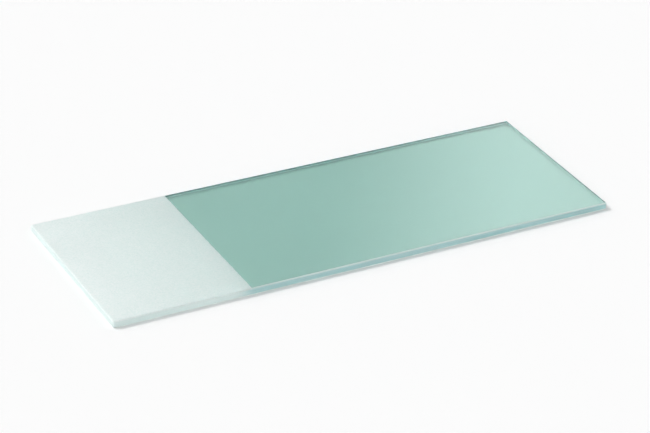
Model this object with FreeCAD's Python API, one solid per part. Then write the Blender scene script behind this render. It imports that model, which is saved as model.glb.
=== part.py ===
import FreeCAD, Part
import os

# A microscope slide with ground edges and a frosted marking end: one plate of soda-lime glass.
# It is modelled in the order it is made. The plate is cut to size and its upright corners are
# dubbed, its edges are ground square to the faces, the sharp rims are taken off as narrow
# bevels, called arrises, and a skin is blasted off the upper face at one end.
#
# Frame: the origin is the centre of the underside. +X runs from the frosted end to the clear
# end, +Y runs across the slide, and +Z points up out of the face that takes the specimen.

# Driving dimensions, in millimetres.
SLIDE_LENGTH = 76.0
SLIDE_WIDTH = 26.0
SLIDE_THICKNESS = 1.0
CORNER_RADIUS = 0.3    # small enough to read as a square corner, round enough not to chip
ARRIS_LEG = 0.15       # the 45 degree bevel's run over the face, and its drop down the edge
FROSTED_LENGTH = 20.0  # from the end of the slide to where the face is fully clear
FROSTED_DEPTH = 0.02   # the skin that the blasting takes off
FEATHER_LENGTH = 0.3   # the depth runs out to nothing over this, beside the mask

TOOL_OVERRUN = 1.0     # how far the blasting cut stands past the glass on its open sides


def cut_plate():
    """The plate with its underside on Z = 0, ground square all round, its corners dubbed."""
    low_corner = FreeCAD.Vector(-SLIDE_LENGTH / 2, -SLIDE_WIDTH / 2, 0)
    plate = Part.makeBox(SLIDE_LENGTH, SLIDE_WIDTH, SLIDE_THICKNESS, low_corner)
    corners = [edge for edge in plate.Edges if is_upright(edge)]
    return plate.makeFillet(CORNER_RADIUS, corners)


def is_upright(edge):
    """Whether an edge runs from the lower face to the upper one."""
    return edge.BoundBox.ZLength > SLIDE_THICKNESS / 2


def grind_arrises(plate):
    """Takes the sharp rim off both faces, round the corners too."""
    rims = [edge for edge in plate.Edges if not is_upright(edge)]
    return plate.makeChamfer(ARRIS_LEG, rims)


def blasting_profile():
    """The section along the slide of what the blasting takes away, on the plane Y = 0.

    It is open to the frosted end and above the face. Its floor is level as far as the feather,
    which climbs to the face where the mask began.
    """
    past_end_x = -SLIDE_LENGTH / 2 - TOOL_OVERRUN
    clear_x = -SLIDE_LENGTH / 2 + FROSTED_LENGTH
    feather_x = clear_x - FEATHER_LENGTH
    floor_z = SLIDE_THICKNESS - FROSTED_DEPTH
    above_z = SLIDE_THICKNESS + TOOL_OVERRUN
    return Part.makePolygon([
        FreeCAD.Vector(past_end_x, 0, floor_z),
        FreeCAD.Vector(feather_x, 0, floor_z),
        FreeCAD.Vector(clear_x, 0, SLIDE_THICKNESS),
        FreeCAD.Vector(clear_x, 0, above_z),
        FreeCAD.Vector(past_end_x, 0, above_z),
        FreeCAD.Vector(past_end_x, 0, floor_z),
    ])


def frost_end(glass):
    """Blasts the upper face at the frosted end, right across the width and out over the arrises."""
    half_width = SLIDE_WIDTH / 2 + TOOL_OVERRUN
    section = Part.Face(blasting_profile())
    section.translate(FreeCAD.Vector(0, -half_width, 0))
    return glass.cut(section.extrude(FreeCAD.Vector(0, 2 * half_width, 0)))


def make_slide():
    """The finished slide, as one solid."""
    return frost_end(grind_arrises(cut_plate())).Solids[0]


os.makedirs("parts", exist_ok=True)
make_slide().exportStep("parts/glass_slide.step")
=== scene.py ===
import bpy
import math
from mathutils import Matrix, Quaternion, Vector
from types import SimpleNamespace


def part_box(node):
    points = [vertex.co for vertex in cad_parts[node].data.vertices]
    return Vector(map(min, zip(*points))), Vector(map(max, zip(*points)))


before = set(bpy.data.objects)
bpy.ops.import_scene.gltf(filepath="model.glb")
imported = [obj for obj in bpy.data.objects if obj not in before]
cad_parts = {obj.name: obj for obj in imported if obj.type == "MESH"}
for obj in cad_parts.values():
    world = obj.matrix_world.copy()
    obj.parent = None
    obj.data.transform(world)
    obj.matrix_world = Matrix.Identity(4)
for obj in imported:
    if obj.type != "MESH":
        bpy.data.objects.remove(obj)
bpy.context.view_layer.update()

# The finish of a glass microscope slide: polished faces, ground edges and a blasted marking end.
# Lengths are in metres.
MM = 0.001

# The slide, from the frame. The blasting takes a skin off the upper face, so its inner limit is where
# the slide first has its full height.
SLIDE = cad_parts["glass_slide"]
SLIDE_LOW, SLIDE_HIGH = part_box("glass_slide")
SLIDE_CENTRE = (SLIDE_LOW + SLIDE_HIGH) / 2
SAME_LEVEL = 0.001 * MM        # heights nearer than this count as one
FULL_HEIGHT = SLIDE_HIGH.z - SAME_LEVEL
FROSTED_LIMIT_X = min(corner.co.x for corner in SLIDE.data.vertices if corner.co.z > FULL_HEIGHT)

# How the blasting ends, and how the painted glow in the edges under it ends.
FEATHER_LENGTH = 0.3 * MM      # over which the blasting dies away beside the mask
RAGGED_BY = 0.12 * MM          # how far the limit wanders to each side
RAGGED_SPACING = 0.4 * MM
PAINTED_GLOW_FADE_LENGTH = 2.5 * MM    # over which the painted glow, which stands in for the panel's light, dies away in the edges under it

# Where a face counts as level or as upright, by how much its normal points up or down.
LEVEL_ABOVE = 0.9
UPRIGHT_BELOW = 0.4

# The blasting's pits and the wheel's grit are too fine to show, so the pits are drawn five times as
# coarse as they are, and the lines that the grit leaves three times.
PIT_SIZE = 0.045 * MM
PIT_SPACING = 5 * PIT_SIZE
GRIT_SIZE = 0.04 * MM
LINE_SPACING = 3 * GRIT_SIZE
LINE_LENGTH = 14 * MM          # a line fades in and out over about this
PASS_WIDTH = 4 * MM            # the nozzle's passes leave the panel uneven over about this
RELIEF_DEPTH = 0.02 * MM
LINE_RELIEF = 0.1              # the lines' depth, as a share of the pits'

# How many times each pattern's noise is laid over itself, finer each time.
PIT_LAYERS = 4.0
PIT_HARSHNESS = 0.75           # how strong the finer layers are
PASS_LAYERS = 1.0
LINE_LAYERS = 2.0
RAGGED_LAYERS = 3.0
NOISE_RANGE = (0.3, 0.7)       # where nearly all of a noise's values lie

# The colours of the finishes, each from its darkest to its palest.
POLISHED_TINT = "#cae2dc"
SATIN_COLOURS = ("#c2e8ea", "#ecfafb")
# Painted glow: the edges under the frosted end are painted this paler colour, standing in for the light
# that the panel scatters into them.
PAINTED_GLOW_COLOUR = "#e8f5f3"
ARRIS_COLOURS = ("#deefec", "#f3fbf9")
PANEL_COLOURS = ("#e4f1ef", "#f9fdfc")

# Their roughness, and how dull they are: the share of their light that they scatter back.
GROUND_ROUGHNESS = (0.32, 0.45)
PANEL_ROUGHNESS = (0.7, 0.9)
EDGE_DULLNESS = (0.3, 0.62)
PAINTED_GLOW_DULLNESS = 0.38           # painted glow: the dullness added to the edges under the panel, standing in for the panel's light
ARRIS_DULLNESS = 0.8
PANEL_DULLNESS_AND_PAINTED_PALING = (0.86, 0.56)  # at the slide's end and at the panel's inner limit: painted light, paler towards the end
PASS_DULLNESS = 0.08           # what the nozzle's passes add or take

GLASS_IOR = 1.52
DEPTH_COLOUR = "#89e5e2"       # red fades in the glass three times as fast as green and blue
DEPTH_DENSITY = 40.0           # per metre

# The camera stands to the left of the slide's near long edge, looks down on it, and leans a little.
# Its sensor and lens are in millimetres, as it takes them.
VIEW_AZIMUTH = math.radians(-31.4)
VIEW_ELEVATION = math.radians(30.5)
VIEW_ROLL = math.radians(4.25)
VIEW_DISTANCE = 346 * MM
NEAREST_SEEN = 10 * MM
SENSOR_WIDTH = 36.0
LENS = 140.0

# The floor lies a little below the slide, as a real table's high spots hold it off the rest.
FLOOR_GAP = 0.04 * MM
FLOOR_HALF_SIDE = 3.5
FLOOR_COLOUR = "#fcfcfc"

# The window's light.
WINDOW_AZIMUTH = math.radians(-130)
WINDOW_ELEVATION = math.radians(50)
WINDOW_SPREAD = math.radians(24)
WINDOW_STRENGTH = 1.7

# The room: bright at the horizon and dimmer above, with softboxes for the clear face to mirror.
# Heights are sines of the elevation, and softness is in the wave that spaces the softboxes.
ROOM_DIMS_OVER = (0.03, 0.3)
ROOM_LEVEL = 0.31
SOFTBOX_COUNT = 4
SOFTBOX_AZIMUTH = math.radians(123.6)
SOFTBOX_SOFTNESS = 0.22
SOFTBOX_GLOW = 1.3
SOFTBOX_BOTTOM = (0.15, 0.35)
SOFTBOX_TOP = (0.6, 0.75)

LIGHT_BOUNCES = 32


def srgb(hex_code):
    """A #rrggbb colour as linear red, green, blue and alpha."""
    def to_linear(share):
        return share / 12.92 if share <= 0.04045 else ((share + 0.055) / 1.055) ** 2.4
    return [to_linear(int(hex_code[i:i + 2], 16) / 255) for i in (1, 3, 5)] + [1.0]


def node(tree, kind, inputs=None, **settings):
    """Adds a shader node with its settings. inputs gives a socket a value or another node's output."""
    added = tree.nodes.new("ShaderNode" + kind)
    for name, value in settings.items():
        setattr(added, name, value)
    for socket, value in (inputs or {}).items():
        if isinstance(value, bpy.types.NodeSocket):
            tree.links.new(value, added.inputs[socket])
        else:
            added.inputs[socket].default_value = value
    return added.outputs


def new_material(name):
    """An empty material, and its node tree."""
    material = bpy.data.materials.new(name)
    material.use_nodes = True
    tree = material.node_tree
    tree.nodes.clear()
    return material, tree


def facing_masks(tree):
    """Where the upright ground edges are, where the bevelled arrises are, and what faces up."""
    facing = node(tree, "NewGeometry")["True Normal"]
    up = node(tree, "SeparateXYZ", {0: facing})[2]
    upness = node(tree, "Math", {0: up}, operation="ABSOLUTE")[0]
    upright = node(tree, "Math", {0: upness, 1: UPRIGHT_BELOW}, operation="LESS_THAN")[0]
    not_level = node(tree, "Math", {0: upness, 1: LEVEL_ABOVE}, operation="LESS_THAN")[0]
    arris = node(tree, "Math", {0: not_level, 1: upright}, operation="SUBTRACT")[0]
    upward = node(tree, "Math", {0: up, 1: UPRIGHT_BELOW}, operation="GREATER_THAN")[0]
    return upright, arris, upward


def end_mask(tree, x, fade_length):
    """1 over the frosted end, falling to 0 over the last fade_length before its inner limit."""
    return node(tree, "MapRange", {
        "Value": x, "From Min": FROSTED_LIMIT_X - fade_length, "From Max": FROSTED_LIMIT_X,
        "To Min": 1.0, "To Max": 0.0,
    }, interpolation_type="SMOOTHSTEP")[0]


def finish_masks(tree, place):
    """Where each finish and the painted glow lie, 1 there and 0 elsewhere, and how far along the frosted
    end a place is.

    ground is the upright edges and the arrises together. frosted is the blasted panel, whose limit is
    slightly ragged. The glow mask is the edges under the panel, which are painted paler there as a painted
    glow for the light that the panel scatters into them. inward runs from 0 at the slide's end to 1 at the
    frosted end's inner limit.
    """
    upright, arris, upward = facing_masks(tree)
    ground = node(tree, "Math", {0: upright, 1: arris}, operation="ADD")[0]
    x = node(tree, "SeparateXYZ", {0: place})[0]
    inward = node(tree, "MapRange", {
        "Value": x, "From Min": SLIDE_LOW.x, "From Max": FROSTED_LIMIT_X,
    })[0]
    uneven = node(tree, "TexNoise", {
        "Vector": place, "Scale": 1 / RAGGED_SPACING, "Detail": RAGGED_LAYERS,
    })[0]
    shift = node(tree, "MapRange", {"Value": uneven, "To Min": -RAGGED_BY, "To Max": RAGGED_BY})[0]
    ragged_x = node(tree, "Math", {0: x, 1: shift}, operation="ADD")[0]
    blasted = end_mask(tree, ragged_x, FEATHER_LENGTH)
    frosted = node(tree, "Math", {0: blasted, 1: upward}, operation="MULTIPLY")[0]
    under = end_mask(tree, x, PAINTED_GLOW_FADE_LENGTH)
    painted_glow = node(tree, "Math", {0: under, 1: upright}, operation="MULTIPLY")[0]
    return SimpleNamespace(upright=upright, arris=arris, ground=ground,
                           frosted=frosted, painted_glow=painted_glow, inward=inward)


def finish_grains(tree, place):
    """The blasting's pits and the nozzle's passes, as raw noise, and the wheel's lines, from 0 to 1.

    The lines run round the slide, level with its faces.
    """
    pits = node(tree, "TexNoise", {
        "Vector": place, "Scale": 1 / PIT_SPACING, "Detail": PIT_LAYERS, "Roughness": PIT_HARSHNESS,
    })[0]
    passes = node(tree, "TexNoise", {
        "Vector": place, "Scale": 1 / PASS_WIDTH, "Detail": PASS_LAYERS,
    })[0]
    stretched = node(tree, "Mapping", {
        "Vector": place, "Scale": (1 / LINE_LENGTH, 1 / LINE_LENGTH, 1 / LINE_SPACING),
    })[0]
    grit = node(tree, "TexNoise", {"Vector": stretched, "Scale": 1.0, "Detail": LINE_LAYERS})[0]
    lines = node(tree, "MapRange", {
        "Value": grit, "From Min": NOISE_RANGE[0], "From Max": NOISE_RANGE[1],
    })[0]
    return SimpleNamespace(pits=pits, passes=passes, lines=lines)


def glass_colour(tree, mask, grain):
    """Tinted through the polished faces, satin edges, whiter arrises, and a white, speckled panel.

    The edges under the panel are painted pale: a painted glow that stands in for the light the panel
    scatters into the glass.
    """
    white = node(tree, "MapRange", {
        "Value": grain.pits, "From Min": NOISE_RANGE[0], "From Max": NOISE_RANGE[1],
    })[0]
    panel = node(tree, "Mix", {
        0: white, 6: srgb(PANEL_COLOURS[0]), 7: srgb(PANEL_COLOURS[1]),
    }, data_type="RGBA")[2]
    satin = node(tree, "Mix", {
        0: grain.lines, 6: srgb(SATIN_COLOURS[0]), 7: srgb(SATIN_COLOURS[1]),
    }, data_type="RGBA")[2]
    bevel = node(tree, "Mix", {
        0: grain.lines, 6: srgb(ARRIS_COLOURS[0]), 7: srgb(ARRIS_COLOURS[1]),
    }, data_type="RGBA")[2]
    # Painted glow: the edges under the panel take the paler colour, standing in for the panel's light.
    edge = node(tree, "Mix", {0: mask.painted_glow, 6: satin, 7: srgb(PAINTED_GLOW_COLOUR)}, data_type="RGBA")[2]
    sides = node(tree, "Mix", {0: mask.upright, 6: srgb(POLISHED_TINT), 7: edge}, data_type="RGBA")[2]
    bare = node(tree, "Mix", {0: mask.arris, 6: sides, 7: bevel}, data_type="RGBA")[2]
    return node(tree, "Mix", {0: mask.frosted, 6: bare, 7: panel}, data_type="RGBA")[2]


def glass_roughness(tree, mask, grain):
    """Smooth where it is polished, satin where it is ground, rough where it is blasted."""
    satin = node(tree, "MapRange", {
        "Value": grain.lines, "To Min": GROUND_ROUGHNESS[0], "To Max": GROUND_ROUGHNESS[1],
    })[0]
    bare = node(tree, "Math", {0: mask.ground, 1: satin}, operation="MULTIPLY")[0]
    panel = node(tree, "MapRange", {
        "Value": grain.passes, "To Min": PANEL_ROUGHNESS[0], "To Max": PANEL_ROUGHNESS[1],
    })[0]
    return node(tree, "MapRange", {"Value": mask.frosted, "To Min": bare, "To Max": panel})[0]


def glass_clearness(tree, mask, grain):
    """How much light goes through: all of it at the polished faces, less where the glass is dull.

    The panel is painted dullest, and so palest, at the slide's end: a painted paling that stands in for
    light.
    """
    satin = node(tree, "MapRange", {
        "Value": grain.lines, "To Min": EDGE_DULLNESS[0], "To Max": EDGE_DULLNESS[1],
    })[0]
    # Painted glow: the edges under the panel are made duller, and so paler, standing in for the panel's
    # light.
    glow = node(tree, "Math", {0: mask.painted_glow, 1: PAINTED_GLOW_DULLNESS}, operation="MULTIPLY")[0]
    edge = node(tree, "Math", {0: mask.upright, 1: satin, 2: glow}, operation="MULTIPLY_ADD")[0]
    bare = node(tree, "Math", {0: mask.arris, 1: ARRIS_DULLNESS, 2: edge}, operation="MULTIPLY_ADD")[0]
    # Painted light: the panel's dullness rises towards the slide's end, so the panel renders paler there.
    fade = node(tree, "MapRange", {
        "Value": mask.inward, "To Min": PANEL_DULLNESS_AND_PAINTED_PALING[0], "To Max": PANEL_DULLNESS_AND_PAINTED_PALING[1],
    })[0]
    uneven = node(tree, "MapRange", {
        "Value": grain.passes, "To Min": -PASS_DULLNESS, "To Max": PASS_DULLNESS,
    })[0]
    panel = node(tree, "Math", {0: fade, 1: uneven}, operation="ADD")[0]
    dull = node(tree, "MapRange", {"Value": mask.frosted, "To Min": bare, "To Max": panel})[0]
    return node(tree, "Math", {0: 1.0, 1: dull}, operation="SUBTRACT")[0]


def glass_relief(tree, mask, grain):
    """The panel's pits, and the shallower lines of the ground edges."""
    pitted = node(tree, "Math", {0: mask.frosted, 1: grain.pits}, operation="MULTIPLY")[0]
    lined = node(tree, "Math", {0: mask.ground, 1: grain.lines}, operation="MULTIPLY")[0]
    height = node(tree, "Math", {0: lined, 1: LINE_RELIEF, 2: pitted}, operation="MULTIPLY_ADD")[0]
    return node(tree, "Bump", {"Strength": 1.0, "Distance": RELIEF_DEPTH, "Height": height})[0]


def slide_glass():
    """Soda-lime glass, float made: clear and faintly blue-green, deeper where more of it is looked through.

    Its faces stay as bright as they were made. The edges are satin from the wheel, with fine lines along
    them, and the end panel is blasted: dull, whitish and sugary to the eye.
    """
    material, tree = new_material("soda_lime_slide_glass")
    place = node(tree, "TexCoord")["Object"]
    mask = finish_masks(tree, place)
    grain = finish_grains(tree, place)
    surface = node(tree, "BsdfPrincipled", {
        "Base Color": glass_colour(tree, mask, grain),
        "Roughness": glass_roughness(tree, mask, grain),
        "Transmission Weight": glass_clearness(tree, mask, grain),
        "IOR": GLASS_IOR,
        "Normal": glass_relief(tree, mask, grain),
    })[0]
    volume = node(tree, "VolumeAbsorption", {"Color": srgb(DEPTH_COLOUR), "Density": DEPTH_DENSITY})[0]
    node(tree, "OutputMaterial", {"Surface": surface, "Volume": volume})
    return material


def white_board():
    """Matt white board: pale enough to stay quiet, not so white that the glass's edges are lost on it."""
    material, tree = new_material("matt_white_board")
    surface = node(tree, "BsdfPrincipled", {
        "Base Color": srgb(FLOOR_COLOUR),
        "Roughness": 1.0,
        "Specular IOR Level": 0.0,
    })[0]
    node(tree, "OutputMaterial", {"Surface": surface})
    return material


def finish_slide():
    """Gives the CAD slide its glass."""
    SLIDE.data.materials.clear()
    SLIDE.data.materials.append(slide_glass())


def lay_floor():
    """A plain floor under the slide, out to where the world takes over."""
    mesh = bpy.data.meshes.new("floor")
    side = FLOOR_HALF_SIDE
    level = SLIDE_LOW.z - FLOOR_GAP
    corners = [(-side, -side, level), (side, -side, level), (side, side, level), (-side, side, level)]
    mesh.from_pydata(corners, [], [(0, 1, 2, 3)])
    mesh.materials.append(white_board())
    floor = bpy.data.objects.new("floor", mesh)
    bpy.context.scene.collection.objects.link(floor)


def direction(azimuth, elevation):
    """The unit vector from the slide towards an azimuth, counted from the near side, and an elevation."""
    return Vector((math.sin(azimuth) * math.cos(elevation),
                   -math.cos(azimuth) * math.cos(elevation),
                   math.sin(elevation)))


def hang_window():
    """A broad, soft, far light from behind and to the left, the same all over the floor."""
    lamp = bpy.data.lights.new("window", "SUN")
    lamp.angle = WINDOW_SPREAD
    lamp.energy = WINDOW_STRENGTH
    holder = bpy.data.objects.new("window", lamp)
    holder.rotation_mode = "QUATERNION"
    holder.rotation_quaternion = direction(WINDOW_AZIMUTH, WINDOW_ELEVATION).to_track_quat("Z", "Y")
    bpy.context.scene.collection.objects.link(holder)


def softbox_light(tree, x, y, z):
    """What the softboxes add to the room in the direction x, y, z: soft panels, evenly spaced all round."""
    near = node(tree, "Math", {0: y, 1: -1.0}, operation="MULTIPLY")[0]
    azimuth = node(tree, "Math", {0: x, 1: near}, operation="ARCTAN2")[0]
    turns = node(tree, "Math", {
        0: azimuth, 1: SOFTBOX_COUNT, 2: -SOFTBOX_COUNT * SOFTBOX_AZIMUTH,
    }, operation="MULTIPLY_ADD")[0]
    wave = node(tree, "Math", {0: turns}, operation="COSINE")[0]
    across = node(tree, "MapRange", {
        "Value": wave, "From Min": -SOFTBOX_SOFTNESS, "From Max": SOFTBOX_SOFTNESS,
        "To Max": SOFTBOX_GLOW,
    }, interpolation_type="SMOOTHSTEP")[0]
    bottom = node(tree, "MapRange", {
        "Value": z, "From Min": SOFTBOX_BOTTOM[0], "From Max": SOFTBOX_BOTTOM[1],
    }, interpolation_type="SMOOTHSTEP")[0]
    top = node(tree, "MapRange", {
        "Value": z, "From Min": SOFTBOX_TOP[0], "From Max": SOFTBOX_TOP[1],
        "To Min": 1.0, "To Max": 0.0,
    }, interpolation_type="SMOOTHSTEP")[0]
    band = node(tree, "Math", {0: bottom, 1: top}, operation="MULTIPLY")[0]
    return node(tree, "Math", {0: across, 1: band}, operation="MULTIPLY")[0]


def light_room():
    """A pale studio: as bright as the floor at the horizon, dimmer above, with softboxes all round."""
    world = bpy.data.worlds.new("studio")
    bpy.context.scene.world = world
    world.use_nodes = True
    tree = world.node_tree
    tree.nodes.clear()
    x, y, z = node(tree, "SeparateXYZ", {0: node(tree, "TexCoord")["Generated"]})
    level = node(tree, "MapRange", {
        "Value": z, "From Min": ROOM_DIMS_OVER[0], "From Max": ROOM_DIMS_OVER[1],
        "To Min": srgb(FLOOR_COLOUR)[0], "To Max": ROOM_LEVEL,
    }, interpolation_type="SMOOTHSTEP")[0]
    strength = node(tree, "Math", {0: level, 1: softbox_light(tree, x, y, z)}, operation="ADD")[0]
    background = node(tree, "Background", {"Color": srgb("#ffffff"), "Strength": strength})[0]
    node(tree, "OutputWorld", {"Surface": background})


def aim_camera():
    """The camera, at the viewing angle above, with its axis through the slide's centre."""
    camera = bpy.data.objects.new("camera", bpy.data.cameras.new("camera"))
    camera.data.sensor_width = SENSOR_WIDTH
    camera.data.lens = LENS
    camera.data.clip_start = NEAREST_SEEN
    towards = direction(VIEW_AZIMUTH, VIEW_ELEVATION)
    camera.location = SLIDE_CENTRE + towards * VIEW_DISTANCE
    camera.rotation_mode = "QUATERNION"
    camera.rotation_quaternion = Quaternion(towards, VIEW_ROLL) @ towards.to_track_quat("Z", "Y")
    bpy.context.scene.collection.objects.link(camera)
    bpy.context.scene.camera = camera
    bpy.context.scene.view_settings.view_transform = "Standard"


def open_light_paths():
    """Lets a path cross the plate as real light does, by a dozen total reflections and unblurred."""
    paths = bpy.context.scene.cycles
    paths.max_bounces = LIGHT_BOUNCES
    paths.glossy_bounces = LIGHT_BOUNCES
    paths.transmission_bounces = LIGHT_BOUNCES
    paths.blur_glossy = 0.0


aim_camera()
open_light_paths()
finish_slide()
lay_floor()
hang_window()
light_room()
